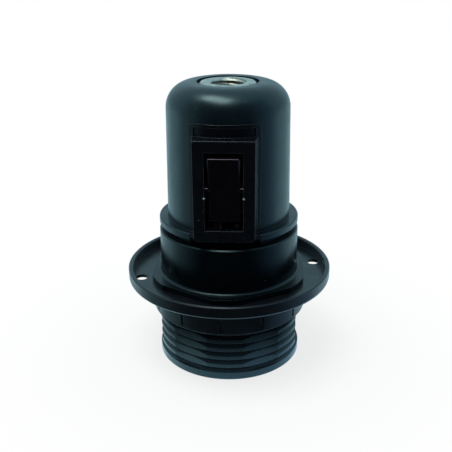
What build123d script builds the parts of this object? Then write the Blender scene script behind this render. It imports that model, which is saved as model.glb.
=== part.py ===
from build123d import *
from math import cos, radians, sin
import os

os.makedirs("parts", exist_ok=True)

# Switched lamp holder for an E27 lamp, standing on its open end.
# Millimetres, +Z up, origin at the centre of the foot, rocker facing -Y.

# Running and assembly clearance between the pieces
fit = 0.1

# Lower body: smooth cylinder, six-sided flange and threaded barrel in one moulding
thread_radius = 20.0
thread_depth = 1.1
thread_pitch = 2.5
groove_half = 0.75
first_groove = 3.1
foot_step = 0.15
foot_chamfer = 0.4
mouth_chamfer = 0.7
barrel_wall = 1.4
flat_cut = 0.73
flange_reach = 2.3
flange_cut = 1.4
flange_bottom = 24.2
flange_height = 1.4
flange_fillet = 0.9
body_wall = 1.7
rim_height = 38.2
rim_chamfer = 0.35
rim_above_shelf = 4.7
shelf_reach = 2.6
shelf_height = 2.0
key_width = 2.4
key_depth = 0.8
key_height = 3.6
snap_depth = 0.25
snap_height = 0.9
snap_below_rim = 0.9

# Shade ring that runs on the barrel
ring_clearance = 0.45
ring_wall = 1.15
ring_sleeve_height = 8.4
ring_radius = 28.5
ring_floor = 0.9
ring_rim = 1.3
ring_rim_height = 2.7
ring_corner = 1.0
ring_chamfer = 0.3
ring_play = 0.1
ring_hole_radius = 1.7
ring_hole_reach = 25.0
ring_hole_turn = 14.8
grip_count = 12
grip_width = 0.8
grip_depth = 0.35
grip_length = 3.5
grip_above = 1.0
grip_turn = -2.4

# Dome cap
cap_step = 2.4
cap_draft = 0.4
cap_height = 38.2
cap_wall = 1.6
cap_gap = 1.6
collar_inset = 0.05
collar_height = 2.0
collar_round = 0.45
collar_chamfer = 0.3
dome_corner = 6.8
dome_fillet = 6.6
top_wall = 1.6
recess_depth = 1.0
recess_margin = 0.8
spigot_play = 0.4
spigot_wall = 1.5
spigot_lead = 0.6

# Entry bush in the cap's top, with an M10 x 1 thread
entry_core = 4.5
entry_chamfer = 0.5
bush_wall = 1.9
bush_flange_reach = 1.0
bush_flange_height = 0.8
bush_flange_chamfer = 0.25
bush_length = 8.6
nut_wall = 1.1
nut_height = 3.2
lock_screw_radius = 1.5
lock_screw_length = 3.0
lock_screw_above = 2.0
lock_slot_width = 0.5
lock_slot_depth = 0.8

# Switch housing that slides into the cap's window
face_stand = 2.7
face_half = 7.8
face_above_collar = 0.9
face_wall = 1.6
face_edge = 0.15
face_head = 2.9
face_sill = 3.0
ledge_drop = 3.3
side_slope = 6.5
edge_slope = 60.0
upper_corner = 0.5
lower_corner = 1.0
lip_margin = 1.25
lip_below_shoulder = 0.9
lip_height = 0.45
lip_band = 0.9
panel_stand = 0.12
lip_corner = 1.2
window_cover = 0.7
window_side_cover = 0.45
window_corner = 0.4
apron_wall = 1.0
apron_margin = 1.65
apron_rise = 0.7
opening_half = 4.88
cheek_wall = 1.2
cavity_side = 0.95
cavity_sill = 1.4
ledge_wall = 1.0
pip_below_pivot = 1.8
pip_radius = 0.35
pip_stand = 0.2

# Rocker, its plunger and the tumbling contact
rocker_half = 4.05
rocker_end_gap = 1.16
rocker_dish = 0.69
rocker_front = 1.5
rocker_back = 2.0
rocker_wall = 1.7
rocker_chamfer = 1.1
rocker_draft = 0.15
rocker_edge = 0.3
pivot_depth = 1.6
pivot_rise = 0.3
pivot_radius = 0.75
pivot_play = 0.08
pivot_length = 1.6
throw = 9.0
tumbler_behind = 9.7
boss_radius = 2.3
boss_root = 0.4
spring_seat = 1.4
plunger_radius = 1.15
plunger_show = 2.1
plunger_hold = 2.2
plunger_gap = 0.2
spring_wire = 0.22
spring_turns = 3
tumbler_half = 2.5
tumbler_short = 1.04
tumbler_front = 0.8
tumbler_gap = 0.2
notch_radius = 0.35
contact_button = 1.0

# Insulating plate and strips behind the switch
base_behind = 2.0
base_thickness = 2.0
base_margin = 1.5
base_corner = 0.8
strip = 0.5
screw_radius = 1.0
screw_play = 0.03
screw_head = 1.8
screw_head_height = 1.0
screw_length = 6.0
screw_slot_width = 0.5
screw_slot_depth = 0.4
screw_boss = 1.4
upper_screw_drop = 1.2
lower_screw_rise = 1.5
tail_rise = 4.05
tail_length = 0.8
ridge_half = 2.2
ridge_foot = 1.6
ridge_lead = 0.1
strip_bend = 0.45
link_width = 2.4
link_margin = 1.8

# Contact block, lamp shell and terminals
block_play = 0.4
block_flange = 2.0
block_boss = 3.0
tower_half = 10.4
tower_front = -1.0
tower_back = 10.2
tower_height = 8.5
pocket_inner = 2.6
pocket_outer = 9.2
pocket_back = 8.8
terminal_width = 6.2
terminal_depth = 7.2
terminal_height = 7.5
wire_rise = 3.7
wire_radius = 1.3
clamp_radius = 1.5
clamp_head = 2.2
clamp_head_height = 1.6
clamp_head_gap = 0.3
clamp_slot_width = 0.7
clamp_slot_depth = 0.8
shell_wall = 0.4
shell_major = 13.3
shell_minor = 12.2
shell_pitch = 3.63
shell_bottom = 9.0
shell_lead = 2.0
shell_flare = 0.8
rivet_radius = 1.0
rivet_head = 1.6
rivet_head_height = 0.7
rivet_margin = 1.1
shell_rivet_angle = 43.0
centre_rivet_y = 6.5
contact_half = 2.5
contact_drop = 2.2
contact_lift = 1.2
contact_tip = 2.0
contact_lead = 2.2
contact_bend = 0.8
strap_half = 1.5
strap_width = 3.4
strap_corner = 0.8
strap_overlap = 2.0

# Radii that follow, from the thread inwards and outwards
root_radius = thread_radius - thread_depth
foot_radius = thread_radius + foot_step
barrel_flat = thread_radius - flat_cut
flange_radius = thread_radius + flange_reach
flange_flat = flange_radius - flange_cut
bore_radius = root_radius - barrel_wall
body_radius = bore_radius + body_wall
shelf_radius = bore_radius - shelf_reach
ring_bore = thread_radius + ring_clearance
sleeve_radius = ring_bore + ring_wall
cap_radius = body_radius - cap_step
cap_top_radius = cap_radius - cap_draft
cap_inner = cap_radius - cap_wall
collar_radius = body_radius - collar_inset
spigot_radius = bore_radius - spigot_play
spigot_inner = spigot_radius - spigot_wall
apron_radius = cap_top_radius - cap_wall - fit
apron_inner = apron_radius - apron_wall
rivet_circle = apron_inner - rivet_head - rivet_margin
shell_opening = rivet_circle - rivet_head
bush_radius = entry_core + bush_wall
bush_flange = bush_radius + bush_flange_reach
recess_radius = bush_flange + recess_margin
entry_hole = bush_radius + fit
nut_half = bush_radius + nut_wall

# Heights that follow, from the foot upwards
foot_height = first_groove - groove_half
thread_turns = int((flange_bottom - foot_height - groove_half) / thread_pitch)
thread_end = foot_height + thread_turns * thread_pitch
flange_top = flange_bottom + flange_height
shelf_top = rim_height - rim_above_shelf
shelf_bottom = shelf_top - shelf_height
snap_top = rim_height - snap_below_rim
snap_bottom = snap_top - snap_height
block_top = shelf_top + block_flange
block_foot = shelf_top - block_boss
strip_top = block_top + strip
collar_bottom = rim_height + cap_gap
collar_top = collar_bottom + collar_height
total_height = collar_bottom + cap_height
dome_shoulder = total_height - dome_corner
recess_floor = total_height - recess_depth
dome_ceiling = recess_floor - top_wall
lip_top = dome_shoulder - lip_below_shoulder
face_bottom = collar_bottom + face_above_collar
panel_top = lip_top - lip_band
face_top = lip_top - ledge_drop
opening_bottom = face_bottom + face_sill
opening_top = face_top - face_head
pivot_z = (opening_bottom + opening_top) / 2 + pivot_rise
rocker_reach = (opening_top - opening_bottom) / 2 - rocker_end_gap
tumbler_reach = rocker_reach - tumbler_short
tail_z = pivot_z + tail_rise
wire_z = strip_top + wire_rise

# Places along Y, from the switch's face inwards
face_y = -cap_radius - face_stand
pivot_y = face_y + pivot_depth
tumbler_y = pivot_y + tumbler_behind
base_front = tumbler_y + base_behind
base_back = base_front + base_thickness
plunger_end = tumbler_behind - tumbler_front - plunger_gap
boss_end = plunger_end - plunger_show
plunger_start = boss_end - plunger_hold

# Places across X
lip_half = face_half + lip_margin
window_half = lip_half - window_side_cover
cheek_half = opening_half + cheek_wall
lower_screw_x = cheek_half - screw_boss
link_inner = lower_screw_x + screw_head + fit
link_outer = link_inner + link_width
terminal_x = (pocket_inner + pocket_outer) / 2
terminal_y = pocket_back - fit - terminal_depth / 2


def nearest(sketch, x, y):
    """Picks the corner of a sketch that lies nearest to one point."""
    return sketch.vertices().sort_by_distance((x, y, 0))[0]


def tilted(y, z, angle):
    """A plane for side profiles, turned about X: local x runs inwards, local y upwards."""
    return Plane(origin=(0, y, z), x_dir=(0, cos(radians(angle)), sin(radians(angle))), z_dir=(1, 0, 0))


# Lower body
thread_outline = []
for turn in range(thread_turns):
    groove = first_groove + turn * thread_pitch
    thread_outline += [(root_radius, groove), (thread_radius, groove + groove_half)]
    if turn + 1 < thread_turns:
        thread_outline += [(thread_radius, groove + thread_pitch - groove_half)]

with BuildPart() as lower_body:
    with BuildSketch(Plane.XZ) as body_wall:
        with BuildLine():
            Polyline(
                (bore_radius + mouth_chamfer, 0),
                (foot_radius - foot_chamfer, 0),
                (foot_radius, foot_chamfer),
                (foot_radius, foot_height),
                *thread_outline,
                (thread_radius, thread_end),
                (root_radius, thread_end + groove_half),
                (root_radius, flange_bottom),
                (flange_radius, flange_bottom),
                (flange_radius, flange_top),
                (body_radius, flange_top),
                (body_radius, rim_height),
                (bore_radius, rim_height),
                (bore_radius, snap_top),
                (bore_radius + snap_depth, (snap_bottom + snap_top) / 2),
                (bore_radius, snap_bottom),
                (bore_radius, shelf_top),
                (shelf_radius, shelf_top),
                (shelf_radius, shelf_bottom),
                (bore_radius, shelf_bottom),
                (bore_radius, mouth_chamfer),
                close=True,
            )
        make_face()
        fillet(nearest(body_wall, body_radius, flange_top), flange_fillet)
        chamfer(nearest(body_wall, body_radius, rim_height), rim_chamfer)
    revolve(axis=Axis.Z)
    with BuildSketch(Plane.XY.offset(foot_height)):
        Circle(foot_radius + 1)
        RegularPolygon(barrel_flat, 6, major_radius=False, rotation=30, mode=Mode.SUBTRACT)
    extrude(amount=flange_bottom - foot_height, mode=Mode.SUBTRACT)
    with BuildSketch(Plane.XY.offset(flange_bottom)):
        Circle(flange_radius + 1)
        RegularPolygon(flange_flat, 6, major_radius=False, rotation=30, mode=Mode.SUBTRACT)
    extrude(amount=flange_height, mode=Mode.SUBTRACT)
    with BuildSketch(Plane.XY.offset(shelf_top)):
        with PolarLocations(bore_radius - key_depth / 2 + fit, 2):
            Rectangle(key_depth + 2 * fit, key_width)
    extrude(amount=key_height)
lower_body.part.label = "lower_body"
export_step(lower_body.part, "parts/lower_body.step")

# Shade ring, up against the underside of the flange
ring_top = flange_bottom - ring_play
ring_under = ring_top - ring_floor
ring_foot = ring_under - ring_sleeve_height

with BuildPart() as shade_ring:
    with BuildSketch(Plane.XZ) as ring_wall:
        with BuildLine():
            Polyline(
                (ring_bore, ring_foot),
                (sleeve_radius, ring_foot),
                (sleeve_radius, ring_under),
                (ring_radius, ring_under),
                (ring_radius, ring_top + ring_rim_height),
                (ring_radius - ring_rim, ring_top + ring_rim_height),
                (ring_radius - ring_rim, ring_top),
                (ring_bore, ring_top),
                close=True,
            )
        make_face()
        chamfer(nearest(ring_wall, sleeve_radius, ring_foot), ring_chamfer)
        fillet(nearest(ring_wall, ring_radius, ring_under), ring_corner)
        chamfer(nearest(ring_wall, ring_radius, ring_top + ring_rim_height), ring_chamfer)
        chamfer(nearest(ring_wall, ring_radius - ring_rim, ring_top + ring_rim_height), ring_chamfer)
    revolve(axis=Axis.Z)
    with BuildSketch(Plane.XY.offset(ring_under)):
        with PolarLocations(ring_hole_reach, 2, start_angle=ring_hole_turn):
            Circle(ring_hole_radius)
    extrude(amount=ring_floor, mode=Mode.SUBTRACT)
    with BuildSketch(Plane.XY.offset(ring_foot + grip_above)):
        with PolarLocations(sleeve_radius, grip_count, start_angle=grip_turn - 90):
            Rectangle(2 * grip_depth, grip_width)
    extrude(amount=grip_length, mode=Mode.SUBTRACT)
shade_ring.part.label = "shade_ring"
export_step(shade_ring.part, "parts/shade_ring.step")

# Dome cap
window_top = lip_top - window_cover

with BuildPart() as dome_cap:
    with BuildSketch(Plane.XZ) as cap_section:
        with BuildLine():
            Polyline(
                (spigot_inner, block_top),
                (spigot_radius, block_top),
                (spigot_radius, snap_bottom),
                (spigot_radius + spigot_play, (snap_bottom + snap_top) / 2),
                (spigot_radius, snap_top),
                (spigot_radius, collar_bottom),
                (collar_radius, collar_bottom),
                (collar_radius, collar_top),
                (cap_radius, collar_top),
                (cap_top_radius, dome_shoulder),
                (cap_top_radius, total_height),
                (recess_radius, total_height),
                (recess_radius, recess_floor),
                (entry_hole, recess_floor),
                (entry_hole, dome_ceiling),
                (cap_top_radius - dome_corner, dome_ceiling),
                (cap_top_radius - cap_wall, dome_shoulder),
                (cap_inner, collar_bottom),
                (spigot_inner, collar_bottom - spigot_lead),
                close=True,
            )
        make_face()
        shoulder = nearest(cap_section, cap_top_radius, total_height)
        fillet(shoulder, min(dome_fillet, cap_top_radius - recess_radius - fit))
        fillet(nearest(cap_section, collar_radius, collar_top), collar_round)
        chamfer(nearest(cap_section, collar_radius, collar_bottom), collar_chamfer)
    revolve(axis=Axis.Z)
    with BuildSketch(Plane.XZ) as window:
        with Locations((0, (block_top + window_top) / 2)):
            Rectangle(2 * window_half, window_top - block_top)
        fillet(window.vertices().group_by(Axis.Y)[-1], window_corner)
    extrude(amount=2 * cap_radius, mode=Mode.SUBTRACT)
    with BuildSketch(Plane.XY.offset(block_top)):
        with Locations((0, -collar_radius)):
            Rectangle(2 * (lip_half + fit), 2 * (collar_radius - apron_inner))
    extrude(amount=collar_top - block_top, mode=Mode.SUBTRACT)
    with BuildSketch(Plane.XY.offset(block_top)):
        with PolarLocations(bore_radius, 2):
            Rectangle(2 * (key_depth + 3 * fit), key_width + 4 * fit)
    extrude(amount=shelf_top + key_height + 2 * fit - block_top, mode=Mode.SUBTRACT)
dome_cap.part.label = "dome_cap"
export_step(dome_cap.part, "parts/dome_cap.step")

# Entry bush, the nut that clamps it and its lock screw
bush_foot = recess_floor - bush_length
lock_z = bush_foot + lock_screw_above

with BuildPart() as entry_bush:
    with BuildSketch(Plane.XZ) as bush_section:
        with BuildLine():
            Polyline(
                (entry_core, bush_foot),
                (bush_radius, bush_foot),
                (bush_radius, recess_floor),
                (bush_flange, recess_floor),
                (bush_flange, recess_floor + bush_flange_height),
                (entry_core, recess_floor + bush_flange_height),
                close=True,
            )
        make_face()
        chamfer(nearest(bush_section, entry_core, recess_floor + bush_flange_height), entry_chamfer)
        chamfer(nearest(bush_section, bush_flange, recess_floor + bush_flange_height), bush_flange_chamfer)
    revolve(axis=Axis.Z)
    with BuildSketch(Plane.XZ):
        with Locations((0, lock_z)):
            Circle(lock_screw_radius)
    extrude(amount=-2 * bush_radius, mode=Mode.SUBTRACT)
entry_bush.part.label = "entry_bush"
export_step(entry_bush.part, "parts/entry_bush.step")

with BuildPart() as bush_nut:
    with BuildSketch(Plane.XY.offset(dome_ceiling)):
        RegularPolygon(nut_half, 6, major_radius=False)
        Circle(bush_radius + fit / 2, mode=Mode.SUBTRACT)
    extrude(amount=-nut_height)
bush_nut.part.label = "bush_nut"
export_step(bush_nut.part, "parts/bush_nut.step")

with BuildPart() as entry_lock_screw:
    with BuildSketch(Plane.XZ.offset(-entry_core)):
        with Locations((0, lock_z)):
            Circle(lock_screw_radius - fit / 2)
    extrude(amount=-lock_screw_length)
    with BuildSketch(Plane.XZ.offset(-entry_core - lock_screw_length)):
        with Locations((0, lock_z)):
            Rectangle(2 * lock_screw_radius, lock_slot_width)
    extrude(amount=lock_slot_depth, mode=Mode.SUBTRACT)
entry_lock_screw.part.label = "entry_lock_screw"
export_step(entry_lock_screw.part, "parts/entry_lock_screw.step")

# Switch housing
face_height = face_top - face_bottom
cavity_y = face_y + face_wall
cavity_half = face_half - cavity_side
cavity_bottom = face_bottom + cavity_sill
cavity_top = face_top - ledge_wall
cap_lean = cap_draft / (dome_shoulder - collar_top)
lower_screw_z = face_bottom + lower_screw_rise
upper_screw_z = face_top - upper_screw_drop
lower_screws = [(side * lower_screw_x, lower_screw_z) for side in (-1, 1)]
upper_screws = [(0, upper_screw_z)]
screw_places = upper_screws + lower_screws

with BuildPart() as frame_lip:
    with BuildSketch(Plane.XZ):
        with BuildLine():
            Polyline(
                (cap_radius + fit / 2 + cap_lean, face_bottom),
                (cap_radius + lip_height + cap_lean, face_bottom),
                (cap_top_radius + lip_height, dome_shoulder),
                (cap_top_radius + fit / 2, dome_shoulder),
                close=True,
            )
        make_face()
    revolve(axis=Axis.Z)
    with BuildSketch(Plane.XZ) as lip_outline:
        with Locations((0, (face_bottom + lip_top) / 2)):
            Rectangle(2 * lip_half, lip_top - face_bottom)
        fillet(lip_outline.vertices().group_by(Axis.Y)[-1], lip_corner)
    extrude(amount=2 * cap_radius, mode=Mode.INTERSECT)
    with BuildSketch(Plane.XZ):
        with Locations((0, (face_bottom + panel_top) / 2)):
            Rectangle(2 * face_half, panel_top - face_bottom)
    extrude(amount=2 * cap_radius, mode=Mode.SUBTRACT)

with BuildPart() as switch_frame:
    with BuildSketch(Plane.XZ.offset(-face_y)) as face_outline:
        with Locations((0, (face_bottom + face_top) / 2)):
            Rectangle(2 * face_half, face_height)
        fillet(face_outline.vertices().group_by(Axis.Y)[-1], upper_corner)
        fillet(face_outline.vertices().group_by(Axis.Y)[0], lower_corner)
    extrude(amount=face_y + apron_inner, taper=-side_slope)
    with BuildSketch(Plane.XZ.offset(-face_y)) as face_rim:
        with Locations((0, (face_bottom + face_top) / 2)):
            Rectangle(2 * (face_half - face_edge), face_height - 2 * face_edge)
        fillet(face_rim.vertices().group_by(Axis.Y)[-1], upper_corner)
        fillet(face_rim.vertices().group_by(Axis.Y)[0], lower_corner)
    extrude(amount=face_y + apron_inner, taper=-edge_slope, mode=Mode.INTERSECT)
    with BuildSketch(Plane.XY.offset(face_bottom)):
        with Locations((0, face_y)):
            Rectangle(2 * lip_half, 4 * face_half)
    extrude(amount=face_height, mode=Mode.INTERSECT)
    with BuildSketch(Plane.XY.offset(face_bottom)):
        Circle(cap_top_radius + panel_stand)
        Circle(apron_inner, mode=Mode.SUBTRACT)
        with Locations((0, -cap_radius)):
            Rectangle(2 * (window_half - fit), 2 * (cap_radius - apron_inner) + 2 * fit, mode=Mode.INTERSECT)
    extrude(amount=panel_top - face_bottom)
    add(frame_lip.part)
    with BuildSketch(Plane.XY.offset(block_top)):
        Circle(apron_radius)
        Circle(apron_inner, mode=Mode.SUBTRACT)
        with Locations((0, -apron_radius)):
            Rectangle(2 * (lip_half + apron_margin), 2 * apron_radius, mode=Mode.INTERSECT)
    extrude(amount=lip_top + apron_rise - block_top)
    with BuildSketch(Plane.XY.offset(face_bottom)):
        Circle(collar_radius - fit)
        Circle(apron_inner, mode=Mode.SUBTRACT)
        with Locations((0, -collar_radius)):
            Rectangle(2 * lip_half, 2 * (collar_radius - apron_inner), mode=Mode.INTERSECT)
    extrude(amount=collar_top - face_bottom)
    with BuildSketch(Plane.XZ.offset(-cavity_y)):
        with Locations((0, (cavity_bottom + cavity_top) / 2)):
            Rectangle(2 * cavity_half, cavity_top - cavity_bottom)
    extrude(amount=cavity_y, mode=Mode.SUBTRACT)
    with BuildSketch(Plane.XZ.offset(-cavity_y)):
        for side in (-1, 1):
            with Locations((side * (opening_half + cheek_wall / 2), (opening_bottom + opening_top) / 2)):
                Rectangle(cheek_wall, opening_top - opening_bottom - 2 * cheek_wall)
    extrude(amount=cavity_y - base_front)
    for front, places in ((cavity_y, lower_screws), (-apron_inner, upper_screws)):
        with BuildSketch(Plane.XZ.offset(-front)):
            with Locations(*places):
                Circle(screw_boss)
        extrude(amount=front - base_front)
    with BuildSketch(Plane.XZ.offset(-base_front)):
        with Locations(*screw_places):
            Circle(screw_radius - fit)
    extrude(amount=screw_length, mode=Mode.SUBTRACT)
    with BuildSketch(Plane.XZ.offset(-face_y)) as opening:
        with Locations((0, (opening_bottom + opening_top) / 2)):
            Rectangle(2 * opening_half, opening_top - opening_bottom)
    extrude(amount=-face_wall - fit, mode=Mode.SUBTRACT)
    with BuildSketch(tilted(pivot_y, pivot_z, 0)):
        Circle(pivot_radius + pivot_play)
    extrude(amount=cheek_half, both=True, mode=Mode.SUBTRACT)
    with BuildSketch(Plane.XZ.offset(-face_y)):
        with Locations(*[(side * opening_half, pivot_z - pip_below_pivot) for side in (-1, 1)]):
            Circle(pip_radius)
    extrude(amount=-face_wall)
    with BuildSketch(Plane.XZ.offset(-face_y)):
        for side in (-1, 1):
            with Locations((side * (opening_half + pip_radius / 2), pivot_z - pip_below_pivot)):
                Circle(pip_radius)
    extrude(amount=pip_stand)
switch_frame.part.label = "switch_frame"
export_step(switch_frame.part, "parts/switch_frame.step")

# Rocker, shown with its lower end pressed in
rocker_side = tilted(pivot_y, pivot_z, throw)
rocker_axis = Axis((0, pivot_y, pivot_z), (0, cos(radians(throw)), sin(radians(throw))))

with BuildPart() as rocker:
    with BuildSketch(rocker_side) as rocker_profile:
        with BuildLine():
            ThreePointArc(
                (-rocker_front, rocker_reach),
                (-rocker_front + rocker_dish, 0),
                (-rocker_front, -rocker_reach + rocker_chamfer),
            )
            Polyline(
                (-rocker_front, -rocker_reach + rocker_chamfer),
                (-rocker_front + rocker_dish, -rocker_reach),
                (rocker_back, -rocker_reach + rocker_draft),
                (rocker_back, -rocker_reach + rocker_wall),
                (rocker_wall - rocker_front + rocker_dish, -rocker_reach + rocker_wall),
                (rocker_wall - rocker_front + rocker_dish, rocker_reach - rocker_wall),
                (rocker_back, rocker_reach - rocker_wall),
                (rocker_back, rocker_reach - rocker_draft),
                (-rocker_front, rocker_reach),
            )
        make_face()
        fillet(nearest(rocker_profile, -rocker_front, rocker_reach), rocker_edge)
    extrude(amount=rocker_half, both=True)
    long_arcs = rocker.edges().filter_by(GeomType.CIRCLE).filter_by(lambda edge: edge.length > rocker_reach)
    chamfer(long_arcs, rocker_edge)
    with BuildSketch(rocker_side):
        with BuildLine():
            Polyline(
                (boss_root, 0),
                (boss_root, boss_radius),
                (boss_end, boss_radius),
                (boss_end, plunger_radius + fit),
                (spring_seat, plunger_radius + fit),
                (spring_seat, 0),
                close=True,
            )
        make_face()
    revolve(axis=rocker_axis)
    for side in (-1, 1):
        with BuildSketch(rocker_side.offset(side * (rocker_half - pivot_length))):
            Circle(pivot_radius)
        extrude(amount=side * 2 * pivot_length)
rocker.part.label = "rocker"
export_step(rocker.part, "parts/rocker.step")

with BuildPart() as switch_plunger:
    with BuildSketch(rocker_side):
        with BuildLine():
            Polyline(
                (plunger_end - plunger_radius, plunger_radius),
                (plunger_start, plunger_radius),
                (plunger_start, 0),
                (plunger_end, 0),
            )
            RadiusArc((plunger_end - plunger_radius, plunger_radius), (plunger_end, 0), plunger_radius)
        make_face()
    revolve(axis=rocker_axis)
switch_plunger.part.label = "switch_plunger"
export_step(switch_plunger.part, "parts/switch_plunger.step")

spring_radius = plunger_radius - spring_wire
spring_start = rocker_side.from_local_coords((spring_seat + spring_wire / 2, 0, 0))
spring_height = plunger_start - spring_seat - spring_wire
with BuildPart() as plunger_spring:
    with BuildLine() as coil:
        Helix(
            spring_height / spring_turns,
            spring_height,
            spring_radius,
            center=spring_start,
            direction=rocker_axis.direction,
        )
    with BuildSketch(Plane(coil.line @ 0, z_dir=coil.line % 0)):
        Rectangle(spring_wire, spring_wire)
    sweep(path=coil.line, is_frenet=True)
plunger_spring.part.label = "plunger_spring"
export_step(plunger_spring.part, "parts/plunger_spring.step")

# Tumbling contact, rocked by the plunger over the ridge of the common contact
tumbler_side = tilted(tumbler_y, pivot_z, -throw)
tumbler_mid = -(tumbler_front + tumbler_gap) / 2
tumbler_thickness = tumbler_front - tumbler_gap

with BuildPart() as tumbler_contact:
    with BuildSketch(tumbler_side):
        with Locations((tumbler_mid, 0)):
            Rectangle(tumbler_thickness, 2 * tumbler_reach)
    extrude(amount=tumbler_half, both=True)
    with BuildSketch(tumbler_side):
        with Locations((tumbler_mid, 0)):
            Rectangle(tumbler_thickness, tumbler_half)
    extrude(amount=opening_half - 3 * fit, both=True)
    with BuildSketch(Plane(
        origin=tumbler_side.from_local_coords((-tumbler_gap, contact_button - tumbler_reach, 0)),
        x_dir=(1, 0, 0),
        z_dir=tumbler_side.x_dir,
    )):
        Circle(contact_button)
    extrude(amount=2 * tumbler_gap)
    with BuildSketch(tumbler_side):
        Circle(notch_radius)
    extrude(amount=tumbler_half, both=True, mode=Mode.SUBTRACT)
tumbler_contact.part.label = "tumbler_contact"
export_step(tumbler_contact.part, "parts/tumbler_contact.step")

# Insulating plate that closes the housing and carries the fixed contacts
base_bottom = lower_screw_z - base_margin
base_top = upper_screw_z + base_margin

with BuildPart() as switch_base:
    with BuildSketch(Plane.XZ.offset(-base_front)) as base_outline:
        with Locations((0, (base_bottom + base_top) / 2)):
            Rectangle(2 * cheek_half, base_top - base_bottom)
        chamfer(base_outline.vertices(), base_corner)
        with Locations(*screw_places):
            Circle(screw_radius + fit, mode=Mode.SUBTRACT)
        with Locations((0, tail_z)):
            Rectangle(2 * tumbler_half + 2 * fit, strip + 5 * fit, mode=Mode.SUBTRACT)
    extrude(amount=-base_thickness)
switch_base.part.label = "switch_base"
export_step(switch_base.part, "parts/switch_base.step")

with BuildPart() as switch_screws:
    with BuildSketch(Plane.XZ.offset(-base_back)):
        with Locations(*screw_places):
            Circle(screw_radius - fit - screw_play)
    extrude(amount=base_thickness + screw_length - screw_play)
    with BuildSketch(Plane.XZ.offset(-base_back)):
        with Locations(*screw_places):
            Circle(screw_head)
    extrude(amount=-screw_head_height)
    with BuildSketch(Plane.XZ.offset(-base_back - screw_head_height)):
        with Locations(*screw_places):
            Rectangle(2 * screw_head, screw_slot_width)
    extrude(amount=screw_slot_depth, mode=Mode.SUBTRACT)
switch_screws.part.label = "switch_screws"
export_step(switch_screws.part, "parts/switch_screws.step")

strip_y = base_front - strip / 2
ridge_y = tumbler_y + ridge_lead
fixed_top = pivot_z - tumbler_reach + 2 * contact_button + plunger_gap

with BuildPart() as common_contact:
    with BuildSketch(Plane.YZ):
        with BuildLine():
            FilletPolyline(
                (base_back + tail_length, tail_z),
                (strip_y, tail_z),
                (strip_y, pivot_z + ridge_half),
                (ridge_y, pivot_z),
                (strip_y, pivot_z - ridge_half),
                (strip_y, pivot_z - ridge_half - ridge_foot),
                radius=strip_bend,
            )
        trace(line_width=strip)
    extrude(amount=tumbler_half, both=True)
common_contact.part.label = "common_contact"
export_step(common_contact.part, "parts/common_contact.step")

with BuildPart() as fixed_contact:
    with BuildSketch(Plane.YZ):
        with BuildLine():
            FilletPolyline(
                (strip_y, fixed_top),
                (strip_y, block_top + strip / 2),
                (centre_rivet_y + contact_tip, block_top + strip / 2),
                radius=contact_bend,
            )
        trace(line_width=strip)
    extrude(amount=strap_half, both=True)
    with BuildSketch(Plane.XY.offset(block_top)):
        with Locations((0, centre_rivet_y)):
            Circle(rivet_radius + fit / 2)
    extrude(amount=strip, mode=Mode.SUBTRACT)
fixed_contact.part.label = "fixed_contact"
export_step(fixed_contact.part, "parts/fixed_contact.step")

link_middle = -(link_inner + link_outer) / 2
with BuildPart() as live_link:
    with BuildSketch(Plane.XZ.offset(-base_back)):
        with Locations((link_middle, (block_top + tail_z + link_margin) / 2)):
            Rectangle(link_width, tail_z + link_margin - block_top)
        with Locations(((tumbler_half + tail_length - link_outer) / 2, tail_z)):
            Rectangle(tumbler_half + tail_length + link_outer, 2 * link_margin)
        with Locations((0, tail_z)):
            Rectangle(2 * tumbler_half + fit, strip + fit, mode=Mode.SUBTRACT)
    extrude(amount=-strip)
    with BuildSketch(Plane.XY.offset(block_top)):
        with Locations((link_middle, (base_back + terminal_y) / 2)):
            Rectangle(link_width, terminal_y - base_back)
    extrude(amount=strip)
live_link.part.label = "live_link"
export_step(live_link.part, "parts/live_link.step")

# Contact block, the insulating core that stands on the body's shelf
neutral_rivet_place = (terminal_x, -(rivet_circle**2 - terminal_x**2) ** 0.5)
shell_rivet_turn = radians(shell_rivet_angle)
shell_rivet_place = (-rivet_circle * cos(shell_rivet_turn), -rivet_circle * sin(shell_rivet_turn))

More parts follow.
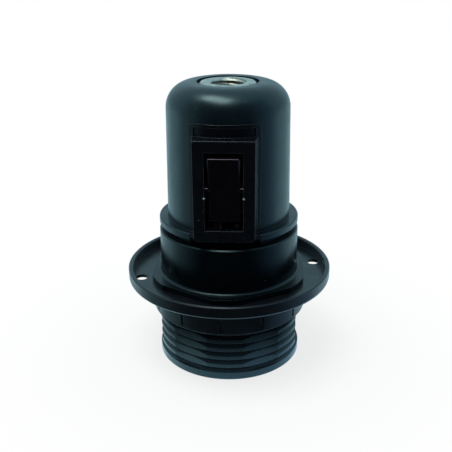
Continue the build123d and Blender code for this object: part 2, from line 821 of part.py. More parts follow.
with BuildPart() as contact_block:
    with BuildSketch(Plane.XZ):
        with BuildLine():
            Polyline(
                (0, block_foot),
                (shelf_radius - block_play, block_foot),
                (shelf_radius - block_play, shelf_top),
                (bore_radius - block_play, shelf_top),
                (bore_radius - block_play, block_top),
                (0, block_top),
                close=True,
            )
        make_face()
    revolve(axis=Axis.Z)
    with BuildSketch(Plane.XY.offset(block_top)):
        with Locations((0, (tower_front + tower_back) / 2)):
            Rectangle(2 * tower_half, tower_back - tower_front)
        Circle(apron_radius - fit, mode=Mode.INTERSECT)
    extrude(amount=tower_height)
    with BuildSketch(Plane.XY.offset(block_top)):
        with Locations(*[(side * terminal_x, (tower_front + pocket_back) / 2) for side in (-1, 1)]):
            Rectangle(pocket_outer - pocket_inner, pocket_back - tower_front)
    extrude(amount=tower_height, mode=Mode.SUBTRACT)
    with BuildSketch(Plane.XY.offset(block_top)):
        with Locations((0, (tower_front + pocket_back) / 2)):
            Rectangle(2 * strap_half + 2 * fit, pocket_back - tower_front)
    extrude(amount=tower_height, mode=Mode.SUBTRACT)
    with BuildSketch(Plane.XZ.offset(-pocket_back)):
        with Locations(*[(side * terminal_x, wire_z) for side in (-1, 1)]):
            Circle(wire_radius + 2 * fit)
    extrude(amount=pocket_back - tower_back, mode=Mode.SUBTRACT)
    with BuildSketch(Plane.XY.offset(block_foot)):
        with Locations(neutral_rivet_place, shell_rivet_place, (0, centre_rivet_y)):
            Circle(rivet_radius + fit / 2)
    extrude(amount=block_top - block_foot, mode=Mode.SUBTRACT)
    with BuildSketch(Plane.XY.offset(shelf_top)):
        with PolarLocations(bore_radius, 2):
            Rectangle(2 * (key_depth + 3 * fit), key_width + 4 * fit)
    extrude(amount=block_flange, mode=Mode.SUBTRACT)
contact_block.part.label = "contact_block"
export_step(contact_block.part, "parts/contact_block.step")

# Threaded lamp shell, riveted under the block
shell_top = block_foot
shell_thread = shell_bottom + shell_lead
shell_turns = int((shell_top - shell_wall - rivet_head_height - shell_thread) / shell_pitch)
inner_wave = [(shell_major + shell_flare, shell_bottom)]
for turn in range(shell_turns):
    inner_wave += [
        (shell_major, shell_thread + turn * shell_pitch),
        (shell_minor, shell_thread + (turn + 0.5) * shell_pitch),
    ]
inner_wave.append((shell_major, shell_thread + shell_turns * shell_pitch))
outer_wave = [(radius + shell_wall, height) for radius, height in inner_wave]

with BuildPart() as screw_shell:
    with BuildSketch(Plane.XZ):
        with BuildLine():
            Polyline(
                *inner_wave,
                (shell_major, shell_top - shell_wall),
                (shell_opening, shell_top - shell_wall),
                (shell_opening, shell_top),
                (shell_major + shell_wall, shell_top),
                *reversed(outer_wave),
                close=True,
            )
        make_face()
    revolve(axis=Axis.Z)
    with BuildSketch(Plane.XY.offset(shell_top)):
        with Locations(neutral_rivet_place, shell_rivet_place):
            Circle(rivet_radius + fit / 2)
    extrude(amount=-shell_wall, mode=Mode.SUBTRACT)
screw_shell.part.label = "screw_shell"
export_step(screw_shell.part, "parts/screw_shell.step")


def rivet(place, low, high):
    """A rivet with a flat head beyond each end of what it joins."""
    with BuildPart() as pin:
        with BuildSketch(Plane.XY.offset(low)):
            with Locations(place):
                Circle(rivet_radius)
        extrude(amount=high - low)
        for seat, way in ((low, -1), (high, 1)):
            with BuildSketch(Plane.XY.offset(seat)):
                with Locations(place):
                    Circle(rivet_head)
            extrude(amount=way * rivet_head_height)
    return pin


neutral_rivet = rivet(neutral_rivet_place, shell_top - shell_wall, strip_top)
neutral_rivet.part.label = "neutral_rivet"
export_step(neutral_rivet.part, "parts/neutral_rivet.step")

shell_rivet = rivet(shell_rivet_place, shell_top - shell_wall, block_top)
shell_rivet.part.label = "shell_rivet"
export_step(shell_rivet.part, "parts/shell_rivet.step")

centre_rivet = rivet((0, centre_rivet_y), block_foot - strip, strip_top)
centre_rivet.part.label = "centre_rivet"
export_step(centre_rivet.part, "parts/centre_rivet.step")

# Springy tongue for the lamp's tip
tongue_z = block_foot - strip / 2

with BuildPart() as centre_contact:
    with BuildSketch(Plane.YZ):
        with BuildLine():
            FilletPolyline(
                (centre_rivet_y + contact_tip, tongue_z),
                (centre_rivet_y - contact_tip, tongue_z),
                (contact_tip, tongue_z - contact_drop),
                (-contact_tip, tongue_z - contact_drop),
                (-contact_tip - contact_lead, tongue_z - contact_drop + contact_lift),
                radius=contact_bend,
            )
        trace(line_width=strip)
    extrude(amount=contact_half, both=True)
    with BuildSketch(Plane.XY.offset(block_foot)):
        with Locations((0, centre_rivet_y)):
            Circle(rivet_radius + fit / 2)
    extrude(amount=-strip, mode=Mode.SUBTRACT)
centre_contact.part.label = "centre_contact"
export_step(centre_contact.part, "parts/centre_contact.step")

# Terminals in the block's pockets
strap_end = neutral_rivet_place[1] - strap_width / 2

with BuildPart() as neutral_strap:
    with BuildSketch(Plane.XY.offset(block_top)) as strap_outline:
        with Locations((terminal_x, (strap_end + terminal_y + strap_overlap) / 2)):
            Rectangle(strap_width, terminal_y + strap_overlap - strap_end)
        chamfer(strap_outline.vertices(), strap_corner)
        with Locations(neutral_rivet_place):
            Circle(rivet_radius + fit / 2, mode=Mode.SUBTRACT)
    extrude(amount=strip)
neutral_strap.part.label = "neutral_strap"
export_step(neutral_strap.part, "parts/neutral_strap.step")


def terminal(side):
    """A brass block with a wire hole along Y and a tapped hole from above."""
    with BuildPart() as block:
        with BuildSketch(Plane.XY.offset(strip_top)):
            with Locations((side * terminal_x, terminal_y)):
                Rectangle(terminal_width, terminal_depth)
        extrude(amount=terminal_height)
        with BuildSketch(Plane.XZ.offset(-terminal_y)):
            with Locations((side * terminal_x, wire_z)):
                Circle(wire_radius)
        extrude(amount=terminal_depth, both=True, mode=Mode.SUBTRACT)
        with BuildSketch(Plane.XY.offset(wire_z)):
            with Locations((side * terminal_x, terminal_y)):
                Circle(clamp_radius)
        extrude(amount=terminal_height, mode=Mode.SUBTRACT)
    return block


live_terminal = terminal(-1)
live_terminal.part.label = "live_terminal"
export_step(live_terminal.part, "parts/live_terminal.step")

neutral_terminal = terminal(1)
neutral_terminal.part.label = "neutral_terminal"
export_step(neutral_terminal.part, "parts/neutral_terminal.step")

head_seat = strip_top + terminal_height + clamp_head_gap

with BuildPart() as terminal_screws:
    with BuildSketch(Plane.XY.offset(wire_z + wire_radius)):
        with Locations((-terminal_x, terminal_y), (terminal_x, terminal_y)):
            Circle(clamp_radius - fit / 2)
    extrude(amount=head_seat - wire_z - wire_radius)
    with BuildSketch(Plane.XY.offset(head_seat)):
        with Locations((-terminal_x, terminal_y), (terminal_x, terminal_y)):
            Circle(clamp_head)
    extrude(amount=clamp_head_height)
    with BuildSketch(Plane.XY.offset(head_seat + clamp_head_height)):
        with Locations((-terminal_x, terminal_y), (terminal_x, terminal_y)):
            Rectangle(2 * clamp_head, clamp_slot_width)
    extrude(amount=-clamp_slot_depth, mode=Mode.SUBTRACT)
terminal_screws.part.label = "terminal_screws"
export_step(terminal_screws.part, "parts/terminal_screws.step")
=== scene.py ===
"""Switched lamp holder: finishes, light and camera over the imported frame. Lengths are metres."""

import math

import bmesh
import bpy
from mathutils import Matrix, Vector


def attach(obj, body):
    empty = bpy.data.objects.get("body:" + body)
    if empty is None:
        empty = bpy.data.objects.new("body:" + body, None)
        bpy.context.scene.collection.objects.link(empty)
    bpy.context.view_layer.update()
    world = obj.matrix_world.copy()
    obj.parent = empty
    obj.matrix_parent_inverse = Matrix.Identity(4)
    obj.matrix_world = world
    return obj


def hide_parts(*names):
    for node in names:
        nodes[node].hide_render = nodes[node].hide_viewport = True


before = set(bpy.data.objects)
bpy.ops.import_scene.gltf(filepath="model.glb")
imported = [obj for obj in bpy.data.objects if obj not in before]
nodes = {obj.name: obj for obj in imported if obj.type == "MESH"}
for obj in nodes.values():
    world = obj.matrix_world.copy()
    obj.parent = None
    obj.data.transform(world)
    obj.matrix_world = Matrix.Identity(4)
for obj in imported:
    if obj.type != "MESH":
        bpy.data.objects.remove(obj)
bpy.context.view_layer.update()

MM = 0.001

# Camera, as the photograph was taken, with its distance along the floor
PHOTO_PX = 452
CENTRE_PX = (227.0, 227.0)
FOCAL_PX = 713.4
SENSOR_MM = 36.0
CAMERA_AZIMUTH = math.radians(3.6)
CAMERA_PITCH = math.radians(21.83)
CAMERA_ROLL = math.radians(0.40)
CAMERA_DISTANCE = 185.9 * MM
CAMERA_HEIGHT = 111.6 * MM
CLIP_NEAR = 0.01
CLIP_FAR = 20.0

# Thread of the entry bush: its crest and its root are each flat for THREAD_FLAT of a pitch
THREAD_PITCH = 1.0 * MM
THREAD_DEPTH = 0.5 * MM
THREAD_FLAT = 0.1
THREAD_GAP = 0.01 * MM
STEPS_AROUND = 72
STEPS_PER_PITCH = 12
WELD = 0.0005 * MM
SHARP = math.radians(28)

# Pale metal pips beside the rocker, put where two glints show
PIP_RADIUS = 0.26 * MM
PIP_ASIDE = 4.95 * MM
PIP_Y = -19.66 * MM
PIP_Z = 52.4 * MM
PIP_SEGMENTS = 16
PIP_RINGS = 10

# Bands of a noise's value, from broad and soft to narrow and patchy
BROAD = (0.30, 0.70)
MEDIUM = (0.35, 0.65)
PATCHY = (0.40, 0.62)

# Texture of the mouldings: how wide each kind of mark is, and how deep
BLOTCH = 6 * MM
STREAK = 4 * MM
STREAK_STRETCH = (1.0, 1.0, 0.6)
SINK = 8 * MM
SINK_DEPTH = 0.05 * MM
GRAIN = 0.35 * MM
SPECK = 0.45 * MM
SPECK_BAND = (0.80, 0.825)

# Marks on the mouldings: painted highlights along edges, dust, and a painted floor reflection at
# the foot
# The two edge colours are painted highlights along the edges: greyer on the cap, body and ring,
# brighter on the bezel and rocker
GREY_EDGE_HIGHLIGHT = (0.010, 0.018, 0.024)
PAINTED_EDGE_HIGHLIGHT = (0.044, 0.068, 0.088)
EDGE_BAND = (0.82, 0.97)
EDGE_SAMPLES = 6
DUST = (0.16, 0.18, 0.19)
# The foot colour below and its two heights paint the lower body lighter towards its foot: a
# painted reflection of the bright floor
FOOT_FLOOR_SHEEN = (0.017, 0.029, 0.040)
SHEEN_FULL = 2 * MM
SHEEN_END = 14 * MM

# Texture of the metals
STAIN = 2.5 * MM
SCRATCH = 0.5 * MM
SCRATCH_STRETCH = (3.0, 0.4, 1.0)
SCRATCH_DEPTH = 0.01 * MM
METAL_EDGE = 0.08 * MM

# Texture of the insulating board and block
MOTTLE = 0.8 * MM
PIT = 0.3 * MM
PIT_DEPTH = 0.02 * MM
BOARD_EDGE = 0.1 * MM
BOARD_ROUGHNESS = (0.55, 0.75)

# Floor, white to the camera beyond FLOOR_FAR and keeping some shadow within FLOOR_NEAR
FLOOR_HALF = 3.0
FLOOR_WHITE = 0.86
FLOOR_NEAR = 0.026
FLOOR_FAR = 0.085
FLOOR_NEAR_SHARE = 0.76
FLOOR_SHINE = (0.57, 0.90, 1.02)

# Graded cards, from the part's foot out to CARD_RADIUS
CARD_START = 20.4 * MM
CARD_CLEAR = 38 * MM
CARD_RADIUS = 520 * MM
CARD_LIFT = 0.1 * MM
CARD_DARK = math.radians(42)
CARD_SPREAD = math.radians(94)
CARD_TOP = math.radians(58)
CARD_STEPS = 24
CARD_LOW = 0.02
CARD_HIGH = 0.72
CARD_NEAR = 1.7
CARD_LEFT = (0.58, 0.92, 0.98)
CARD_RIGHT = (0.42, 0.70, 0.96)

# Room and lamps
WHITE = (1.0, 1.0, 1.0)
COOL_WHITE = (0.42, 0.66, 0.75)
ROOM_TINT = (0.90, 0.98, 1.0)
ROOM_LIGHT = 0.55
SIDE_BOX_ASIDE = 0.62
SIDE_BOX_Y = 0.30
SIDE_BOX_Z = 0.30
SIDE_BOX_SIZE = (0.5, 0.5)
SIDE_BOX_POWER = 1.0
SIDE_BOX_AIM = (0, 0, 40 * MM)
LEFT_TINT = (0.66, 1.0, 0.98)
RIGHT_TINT = (0.52, 0.84, 1.0)
TOP_BOX = (-0.09, -0.085, 0.46)
TOP_BOX_SIZE = (0.30, 0.15)
TOP_BOX_POWER = 1.10
TOP_BOX_AIM = (0, 0, 76 * MM)
TOP_TINT = (1.0, 1.0, 0.94)


# Node helpers


def empty_tree(owner):
    """The node tree of a material or a world, with nothing in it."""
    owner.use_nodes = True
    owner.node_tree.nodes.clear()
    return owner.node_tree


def new_material(name):
    """A material with a Principled shader, its tree and that shader."""
    mat = bpy.data.materials.new(name)
    tree = empty_tree(mat)
    out = tree.nodes.new("ShaderNodeOutputMaterial")
    shader = tree.nodes.new("ShaderNodeBsdfPrincipled")
    tree.links.new(shader.outputs["BSDF"], out.inputs["Surface"])
    return mat, tree, shader


def place(tree):
    """Coordinates in metres that are fixed to the piece."""
    return tree.nodes.new("ShaderNodeTexCoord").outputs["Object"]


def axes(tree):
    """The X, Y and Z of a place on the piece."""
    parts = tree.nodes.new("ShaderNodeSeparateXYZ")
    tree.links.new(place(tree), parts.inputs["Vector"])
    return parts.outputs


def maths(tree, operation, *terms):
    """The result of a maths node, whose terms are numbers or other nodes' outputs."""
    node = tree.nodes.new("ShaderNodeMath")
    node.operation = operation
    for index, term in enumerate(terms):
        if isinstance(term, float):
            node.inputs[index].default_value = term
        else:
            tree.links.new(term, node.inputs[index])
    return node.outputs["Value"]


def vector_maths(tree, operation, *vectors):
    """The number that a vector maths node makes of these vectors."""
    node = tree.nodes.new("ShaderNodeVectorMath")
    node.operation = operation
    for index, vector in enumerate(vectors):
        tree.links.new(vector, node.inputs[index])
    return node.outputs["Value"]


def noise(tree, size, detail=3.0, roughness=0.5, stretch=(1.0, 1.0, 1.0)):
    """Noise whose blotches are about size metres across, fixed to the piece."""
    mapping = tree.nodes.new("ShaderNodeMapping")
    mapping.inputs["Scale"].default_value = [s / size for s in stretch]
    texture = tree.nodes.new("ShaderNodeTexNoise")
    texture.inputs["Scale"].default_value = 1.0
    texture.inputs["Detail"].default_value = detail
    texture.inputs["Roughness"].default_value = roughness
    tree.links.new(place(tree), mapping.inputs["Vector"])
    tree.links.new(mapping.outputs["Vector"], texture.inputs["Vector"])
    return texture.outputs["Fac"]


def remap(tree, value, band, ends=(0.0, 1.0)):
    """value carried over from band to ends, and held at the ends outside the band."""
    node = tree.nodes.new("ShaderNodeMapRange")
    node.inputs["From Min"].default_value, node.inputs["From Max"].default_value = band
    node.inputs["To Min"].default_value, node.inputs["To Max"].default_value = ends
    tree.links.new(value, node.inputs["Value"])
    return node.outputs["Result"]


def blend_colours(tree, mask, first, second):
    """first, a colour or a node's output, where mask is 0 and the colour second where it is 1."""
    node = tree.nodes.new("ShaderNodeMix")
    node.data_type = "RGBA"
    if isinstance(first, tuple):
        node.inputs["A"].default_value = (*first, 1.0)
    else:
        tree.links.new(first, node.inputs["A"])
    node.inputs["B"].default_value = (*second, 1.0)
    tree.links.new(mask, node.inputs["Factor"])
    return node.outputs["Result"]


def bump(tree, value, height, normal):
    """normal, turned as on a surface that value raises by up to height metres."""
    node = tree.nodes.new("ShaderNodeBump")
    node.inputs["Strength"].default_value = 1.0
    node.inputs["Distance"].default_value = height
    tree.links.new(value, node.inputs["Height"])
    tree.links.new(normal, node.inputs["Normal"])
    return node.outputs["Normal"]


def soft_edges(tree, radius):
    """Normals that round every sharp edge off by radius."""
    node = tree.nodes.new("ShaderNodeBevel")
    node.samples = EDGE_SAMPLES
    node.inputs["Radius"].default_value = radius
    return node.outputs["Normal"]


def edge_mask(tree, rounded):
    """1 on the edges that the rounded normals soften and 0 on the flats."""
    true_normal = tree.nodes.new("ShaderNodeNewGeometry").outputs["Normal"]
    match = vector_maths(tree, "DOT_PRODUCT", rounded, true_normal)
    return remap(tree, match, EDGE_BAND, (1.0, 0.0))


def foot_mask(tree):
    """1 at the foot, falling to 0 where the painted floor reflection ends."""
    return remap(tree, axes(tree)["Z"], (SHEEN_FULL, SHEEN_END), (1.0, 0.0))


# Finishes


def moulding(
    name, dark, light, gloss, satin, grain,
    edge=0.12 * MM, specular=0.53, tint=(0.60, 0.92, 1.0), edge_highlight=GREY_EDGE_HIGHLIGHT, foot_sheen=None,
):
    """Black moulded plastic: fine grain, sink marks, varying gloss, painted edge highlights and
    dust.

    Its colour runs from dark to light and its roughness from gloss to satin. grain is the height
    of its texture, edge the radius that its corners show, and foot_sheen the lighter colour
    painted towards its foot, a painted reflection of the bright floor.
    """
    mat, tree, shader = new_material(name)
    blotches = noise(tree, BLOTCH, detail=4.0)
    colour = blend_colours(tree, remap(tree, blotches, MEDIUM), dark, light)
    normal = soft_edges(tree, edge)
    # Edges are painted lighter: a painted highlight where the light would catch them
    colour = blend_colours(tree, edge_mask(tree, normal), colour, edge_highlight)
    # Lighter towards the foot: a painted reflection of the bright floor
    if foot_sheen is not None:
        colour = blend_colours(tree, foot_mask(tree), colour, foot_sheen)
    specks = remap(tree, noise(tree, SPECK, detail=1.0), SPECK_BAND)
    colour = blend_colours(tree, specks, colour, DUST)
    tree.links.new(colour, shader.inputs["Base Color"])
    streaks = noise(tree, STREAK, detail=2.0, stretch=STREAK_STRETCH)
    tree.links.new(remap(tree, streaks, BROAD, (gloss, satin)), shader.inputs["Roughness"])
    normal = bump(tree, noise(tree, SINK, detail=1.0), SINK_DEPTH, normal)
    normal = bump(tree, noise(tree, GRAIN, detail=2.0), grain, normal)
    tree.links.new(normal, shader.inputs["Normal"])
    shader.inputs["Specular IOR Level"].default_value = specular
    shader.inputs["Specular Tint"].default_value = (*tint, 1.0)
    return mat


def metal(name, clean, stained, smooth, rough):
    """Plated or plain metal with stains, a varying polish and fine scratches."""
    mat, tree, shader = new_material(name)
    stains = noise(tree, STAIN, detail=6.0, roughness=0.62)
    colour = blend_colours(tree, remap(tree, stains, PATCHY), clean, stained)
    tree.links.new(colour, shader.inputs["Base Color"])
    tree.links.new(remap(tree, stains, MEDIUM, (smooth, rough)), shader.inputs["Roughness"])
    marks = noise(tree, SCRATCH, detail=4.0, stretch=SCRATCH_STRETCH)
    normal = bump(tree, marks, SCRATCH_DEPTH, soft_edges(tree, METAL_EDGE))
    tree.links.new(normal, shader.inputs["Normal"])
    shader.inputs["Metallic"].default_value = 1.0
    return mat


def pressed_board(name, dark, light):
    """Insulating plate or block: matt, with a fine mottle."""
    mat, tree, shader = new_material(name)
    mottle = noise(tree, MOTTLE, detail=5.0)
    colour = blend_colours(tree, remap(tree, mottle, MEDIUM), dark, light)
    tree.links.new(colour, shader.inputs["Base Color"])
    tree.links.new(remap(tree, mottle, BROAD, BOARD_ROUGHNESS), shader.inputs["Roughness"])
    normal = bump(tree, noise(tree, PIT), PIT_DEPTH, soft_edges(tree, BOARD_EDGE))
    tree.links.new(normal, shader.inputs["Normal"])
    return mat


cap_black = moulding(
    "black_moulding",
    dark=(0.0018, 0.0044, 0.0078), light=(0.0028, 0.0062, 0.0104),
    gloss=0.26, satin=0.36, grain=0.005 * MM,
)
# The lower body's copy of the black moulding: darker than the cap's as a painted shade on its
# wall, and lighter towards the foot as a painted floor reflection
shaded_body_black = moulding(
    "shaded_body_moulding",
    dark=(0.0003, 0.0009, 0.0022), light=(0.0006, 0.0014, 0.0030),
    gloss=0.24, satin=0.34, grain=0.005 * MM,
    specular=0.38, tint=(0.60, 0.93, 1.0), foot_sheen=FOOT_FLOOR_SHEEN,
)
bezel_black = moulding(
    "bezel_moulding",
    dark=(0.0014, 0.0016, 0.0034), light=(0.0020, 0.0024, 0.0046),
    gloss=0.24, satin=0.34, grain=0.003 * MM,
    edge=0.16 * MM, specular=0.5, tint=(0.84, 0.92, 1.0), edge_highlight=PAINTED_EDGE_HIGHLIGHT,
)
rocker_black = moulding(
    "rocker_moulding",
    dark=(0.0014, 0.0008, 0.0022), light=(0.0018, 0.0012, 0.0028),
    gloss=0.18, satin=0.26, grain=0.001 * MM,
    specular=0.45, tint=(1.0, 0.80, 1.0), edge_highlight=PAINTED_EDGE_HIGHLIGHT,
)
ring_black = moulding(
    "ring_moulding",
    dark=(0.0026, 0.0026, 0.0046), light=(0.0034, 0.0036, 0.0060),
    gloss=0.26, satin=0.36, grain=0.005 * MM,
    specular=0.62, tint=(0.72, 0.92, 1.0),
)
zinc = metal(
    "zinc_steel", clean=(0.58, 0.59, 0.54), stained=(0.31, 0.33, 0.30), smooth=0.28, rough=0.50,
)
spring_steel = metal(
    "spring_steel", clean=(0.50, 0.50, 0.48), stained=(0.36, 0.36, 0.35), smooth=0.22, rough=0.36,
)
brass = metal(
    "brass", clean=(0.72, 0.52, 0.22), stained=(0.50, 0.33, 0.13), smooth=0.22, rough=0.40,
)
bronze = metal(
    "bronze", clean=(0.68, 0.42, 0.24), stained=(0.48, 0.28, 0.15), smooth=0.24, rough=0.42,
)
# Bronze darkened far below its own colour, for the contacts seen through the rocker's slot:
# painted shade inside the switch
shade_dark_bronze = metal(
    "shade_dark_bronze", clean=(0.13, 0.085, 0.055), stained=(0.07, 0.05, 0.038), smooth=0.42, rough=0.6,
)
# Pale metal for the pips beside the rocker, which stand in for two glints
glint_pip_metal = metal(
    "glint_pip_metal", clean=(0.80, 0.82, 0.84), stained=(0.66, 0.68, 0.70), smooth=0.45, rough=0.6,
)
nickel = metal(
    "nickel", clean=(0.62, 0.59, 0.54), stained=(0.46, 0.43, 0.38), smooth=0.18, rough=0.34,
)
insulator = pressed_board(
    "switch_insulator", dark=(0.10, 0.045, 0.022), light=(0.16, 0.075, 0.036),
)
ceramic = pressed_board(
    "block_ceramic", dark=(0.62, 0.58, 0.50), light=(0.74, 0.71, 0.64),
)

FINISHES = {
    "dome_cap": cap_black,
    "lower_body": shaded_body_black,
    "shade_ring": ring_black,
    "switch_frame": bezel_black,
    "rocker": rocker_black,
    "entry_bush": zinc,
    "bush_nut": zinc,
    "entry_lock_screw": zinc,
    "switch_plunger": spring_steel,
    "plunger_spring": spring_steel,
    "switch_screws": spring_steel,
    "terminal_screws": spring_steel,
    "tumbler_contact": shade_dark_bronze,
    "common_contact": shade_dark_bronze,
    "fixed_contact": shade_dark_bronze,
    "live_link": bronze,
    "centre_contact": bronze,
    "neutral_strap": bronze,
    "screw_shell": nickel,
    "neutral_rivet": brass,
    "shell_rivet": brass,
    "centre_rivet": brass,
    "live_terminal": brass,
    "neutral_terminal": brass,
    "switch_base": insulator,
    "contact_block": ceramic,
}

for node, finish in FINISHES.items():
    slots = nodes[node].data.materials
    for index in range(len(slots)):
        slots[index] = finish


# Threaded bush and pips


def add_object(name, data):
    """An object in the scene for this mesh, lamp or camera."""
    obj = bpy.data.objects.new(name, data)
    bpy.context.scene.collection.objects.link(obj)
    return obj


def thread_core(foot, top, core):
    """A closed bar of radius core from foot to top, with the helical thread standing out of it."""
    around = STEPS_AROUND
    rows = math.ceil((top - foot) / THREAD_PITCH * STEPS_PER_PITCH)
    points = []
    for row in range(rows + 1):
        z = foot + (top - foot) * row / rows
        for step in range(around):
            phase = (z / THREAD_PITCH - step / around) % 1.0
            ramp = 1 - abs(2 * phase - 1)
            rise = min(1.0, max(0.0, (ramp - THREAD_FLAT) / (1 - 2 * THREAD_FLAT)))
            radius = core + THREAD_DEPTH * rise
            turn = 2 * math.pi * step / around
            points.append((radius * math.cos(turn), radius * math.sin(turn), z))
    faces = []
    for low in range(0, rows * around, around):
        for step in range(around):
            ahead = (step + 1) % around
            faces.append((low + step, low + ahead, low + around + ahead, low + around + step))
    faces.append(tuple(reversed(range(around))))
    faces.append(tuple(range(rows * around, len(points))))
    mesh = bpy.data.meshes.new("thread_core")
    mesh.from_pydata(points, [], faces)
    return mesh


def weld(mesh):
    """Joins the corners of this mesh that lie in the same place."""
    joined = bmesh.new()
    joined.from_mesh(mesh)
    bmesh.ops.remove_doubles(joined, verts=joined.verts, dist=WELD)
    joined.to_mesh(mesh)
    joined.free()


def threaded_bush():
    """The entry bush with its M10 x 1 thread cut as a real helix."""
    source = nodes["entry_bush"].data
    foot = min(v.co.z for v in source.vertices)
    top = max(v.co.z for v in source.vertices)
    bore = min(math.hypot(v.co.x, v.co.y) for v in source.vertices)
    bush = add_object("threaded_bush", source.copy())
    weld(bush.data)
    core = thread_core(foot - THREAD_PITCH, top + THREAD_PITCH, bore + THREAD_GAP)
    cutter = add_object("thread_core", core)
    cut = bush.modifiers.new("thread", "BOOLEAN")
    cut.operation = "DIFFERENCE"
    cut.solver = "EXACT"
    cut.object = cutter
    evaluated = bush.evaluated_get(bpy.context.evaluated_depsgraph_get())
    threaded = bpy.data.meshes.new_from_object(evaluated)
    bush.modifiers.clear()
    bush.data = threaded
    bpy.data.objects.remove(cutter)
    threaded.shade_smooth()
    threaded.set_sharp_from_angle(angle=SHARP)
    threaded.materials.clear()
    threaded.materials.append(zinc)
    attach(bush, "holder")
    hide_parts("entry_bush")


def pips():
    """The two bright specks beside the rocker: pale metal domes on the housing's pips, standing in
    for two glints.
    """
    for side in (-1, 1):
        mesh = bpy.data.meshes.new("pip")
        ball = bmesh.new()
        bmesh.ops.create_uvsphere(
            ball, u_segments=PIP_SEGMENTS, v_segments=PIP_RINGS, radius=PIP_RADIUS,
        )
        bmesh.ops.translate(ball, verts=ball.verts, vec=(side * PIP_ASIDE, PIP_Y, PIP_Z))
        ball.to_mesh(mesh)
        ball.free()
        mesh.shade_smooth()
        mesh.materials.append(glint_pip_metal)
        pip = add_object("pip_left" if side < 0 else "pip_right", mesh)
        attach(pip, "holder")


threaded_bush()
pips()


# Floor, cards, lamps and camera


def seen(tree):
    """1 for rays that show the background, straight on or mirrored, and 0 for the rest."""
    rays = tree.nodes.new("ShaderNodeLightPath").outputs
    mirrored = maths(tree, "MAXIMUM", rays["Is Glossy Ray"], rays["Is Transmission Ray"])
    return maths(tree, "MAXIMUM", rays["Is Camera Ray"], mirrored)


def seen_white(tree, mirrored):
    """White for the camera, and the colour mirrored in reflections."""
    rays = tree.nodes.new("ShaderNodeLightPath").outputs
    return blend_colours(tree, rays["Is Camera Ray"], mirrored, WHITE)


def stage_sheet(name, points, across):
    """An object of the setting whose points lie in rows of across."""
    faces = [
        (i, i + 1, i + 1 + across, i + across)
        for start in range(0, len(points) - across, across)
        for i in range(start, start + across - 1)
    ]
    mesh = bpy.data.meshes.new(name)
    mesh.from_pydata(points, [], faces)
    obj = add_object(name, mesh)
    return obj


def make_floor():
    """Pale floor that keeps the shadow near the part and runs out into white."""
    ends = (-FLOOR_HALF, FLOOR_HALF)
    floor = stage_sheet("floor", [(x, y, 0) for y in ends for x in ends], len(ends))
    mat = bpy.data.materials.new("pale_floor")
    tree = empty_tree(mat)
    out = tree.nodes.new("ShaderNodeOutputMaterial")
    matt = tree.nodes.new("ShaderNodeBsdfDiffuse")
    matt.inputs["Color"].default_value = (FLOOR_WHITE, FLOOR_WHITE, FLOOR_WHITE, 1.0)
    glow = tree.nodes.new("ShaderNodeEmission")
    tree.links.new(seen_white(tree, FLOOR_SHINE), glow.inputs["Color"])
    reach = vector_maths(tree, "LENGTH", place(tree))
    share = remap(tree, reach, (FLOOR_NEAR, FLOOR_FAR), (FLOOR_NEAR_SHARE, 1.0))
    mix = tree.nodes.new("ShaderNodeMixShader")
    tree.links.new(maths(tree, "MULTIPLY", seen(tree), share), mix.inputs["Fac"])
    tree.links.new(matt.outputs["BSDF"], mix.inputs[1])
    tree.links.new(glow.outputs["Emission"], mix.inputs[2])
    tree.links.new(mix.outputs["Shader"], out.inputs["Surface"])
    floor.data.materials.append(mat)


def card_point(radius, turn, rise):
    """A point at radius, turn radians round from -Y and rise radians up from the floor."""
    reach = radius * math.cos(rise)
    height = CARD_LIFT + radius * math.sin(rise)
    return (reach * math.sin(turn), -reach * math.cos(turn), height)


def card_shade():
    """Dark straight in front of the part, and bright at the cards' ends and round its foot."""
    mat, tree, shader = new_material("graded_card")
    shader.inputs["Base Color"].default_value = (0.0, 0.0, 0.0, 1.0)
    shader.inputs["Specular IOR Level"].default_value = 0.0
    parts = axes(tree)
    side = remap(tree, parts["X"], (-CARD_START, CARD_START))
    colour = blend_colours(tree, side, CARD_LEFT, CARD_RIGHT)
    tree.links.new(colour, shader.inputs["Emission Color"])
    forward = maths(tree, "MULTIPLY", parts["Y"], -1.0)
    turn = maths(tree, "ARCTAN2", maths(tree, "ABSOLUTE", parts["X"]), forward)
    level = remap(tree, turn, (CARD_DARK, CARD_SPREAD), (CARD_LOW, CARD_HIGH))
    reach = vector_maths(tree, "LENGTH", place(tree))
    foot = remap(tree, reach, (CARD_START, CARD_CLEAR), (CARD_NEAR, 0.0))
    tree.links.new(maths(tree, "MAXIMUM", level, foot), shader.inputs["Emission Strength"])
    return mat


def make_cards():
    """Studio cards in front of the part, one lying and one curved up, that only its gloss sees."""
    finish = card_shade()
    turns = [CARD_SPREAD * (2 * step / CARD_STEPS - 1) for step in range(CARD_STEPS + 1)]
    rises = [CARD_TOP * step / CARD_STEPS for step in range(CARD_STEPS + 1)]
    reaches = (CARD_START, CARD_RADIUS)
    lying = [card_point(radius, turn, 0.0) for radius in reaches for turn in turns]
    curved = [card_point(CARD_RADIUS, turn, rise) for rise in rises for turn in turns]
    for name, points in (("lying_card", lying), ("curved_card", curved)):
        card = stage_sheet(name, points, len(turns))
        card.data.materials.append(finish)
        card.visible_camera = False
        card.visible_diffuse = False
        card.visible_shadow = False


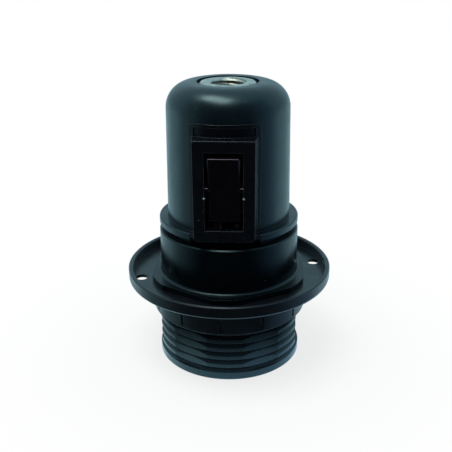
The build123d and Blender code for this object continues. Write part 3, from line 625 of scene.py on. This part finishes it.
def make_world():
    """White where it is seen, and a softer light on the part."""
    world = bpy.data.worlds.new("studio")
    bpy.context.scene.world = world
    tree = empty_tree(world)
    out = tree.nodes.new("ShaderNodeOutputWorld")
    mix = tree.nodes.new("ShaderNodeMixShader")
    light = tree.nodes.new("ShaderNodeBackground")
    light.inputs["Color"].default_value = (*ROOM_TINT, 1.0)
    light.inputs["Strength"].default_value = ROOM_LIGHT
    white = tree.nodes.new("ShaderNodeBackground")
    tree.links.new(seen_white(tree, COOL_WHITE), white.inputs["Color"])
    tree.links.new(seen(tree), mix.inputs["Fac"])
    tree.links.new(light.outputs["Background"], mix.inputs[1])
    tree.links.new(white.outputs["Background"], mix.inputs[2])
    tree.links.new(mix.outputs["Shader"], out.inputs["Surface"])


def area_light(name, spot, aim, size, power, tint):
    """A soft box at spot that faces aim."""
    data = bpy.data.lights.new(name, "AREA")
    data.shape = "RECTANGLE"
    data.size, data.size_y = size
    data.energy = power
    data.color = tint
    obj = add_object(name, data)
    obj.location = spot
    obj.rotation_euler = (Vector(aim) - Vector(spot)).to_track_quat("-Z", "Y").to_euler()
    return obj


def make_lights():
    """A soft box behind the part on each side, left out of its gloss, and one above its front."""
    for name, side, tint in (("left_box", -1, LEFT_TINT), ("right_box", 1, RIGHT_TINT)):
        spot = (side * SIDE_BOX_ASIDE, SIDE_BOX_Y, SIDE_BOX_Z)
        box = area_light(name, spot, SIDE_BOX_AIM, SIDE_BOX_SIZE, SIDE_BOX_POWER, tint)
        box.visible_glossy = False
    area_light("top_box", TOP_BOX, TOP_BOX_AIM, TOP_BOX_SIZE, TOP_BOX_POWER, TOP_TINT)


def make_camera():
    """The photograph's viewpoint."""
    data = bpy.data.cameras.new("camera")
    data.sensor_width = SENSOR_MM
    data.lens = FOCAL_PX / PHOTO_PX * SENSOR_MM
    data.shift_x = (PHOTO_PX / 2 - CENTRE_PX[0]) / PHOTO_PX
    data.shift_y = (CENTRE_PX[1] - PHOTO_PX / 2) / PHOTO_PX
    data.clip_start = CLIP_NEAR
    data.clip_end = CLIP_FAR
    obj = add_object("camera", data)
    obj.location = (
        CAMERA_DISTANCE * math.sin(CAMERA_AZIMUTH),
        -CAMERA_DISTANCE * math.cos(CAMERA_AZIMUTH),
        CAMERA_HEIGHT,
    )
    obj.rotation_euler = (math.pi / 2 - CAMERA_PITCH, CAMERA_ROLL, CAMERA_AZIMUTH)
    bpy.context.scene.camera = obj


make_camera()
make_floor()
make_cards()
make_world()
make_lights()

bpy.context.scene.view_settings.view_transform = "Standard"
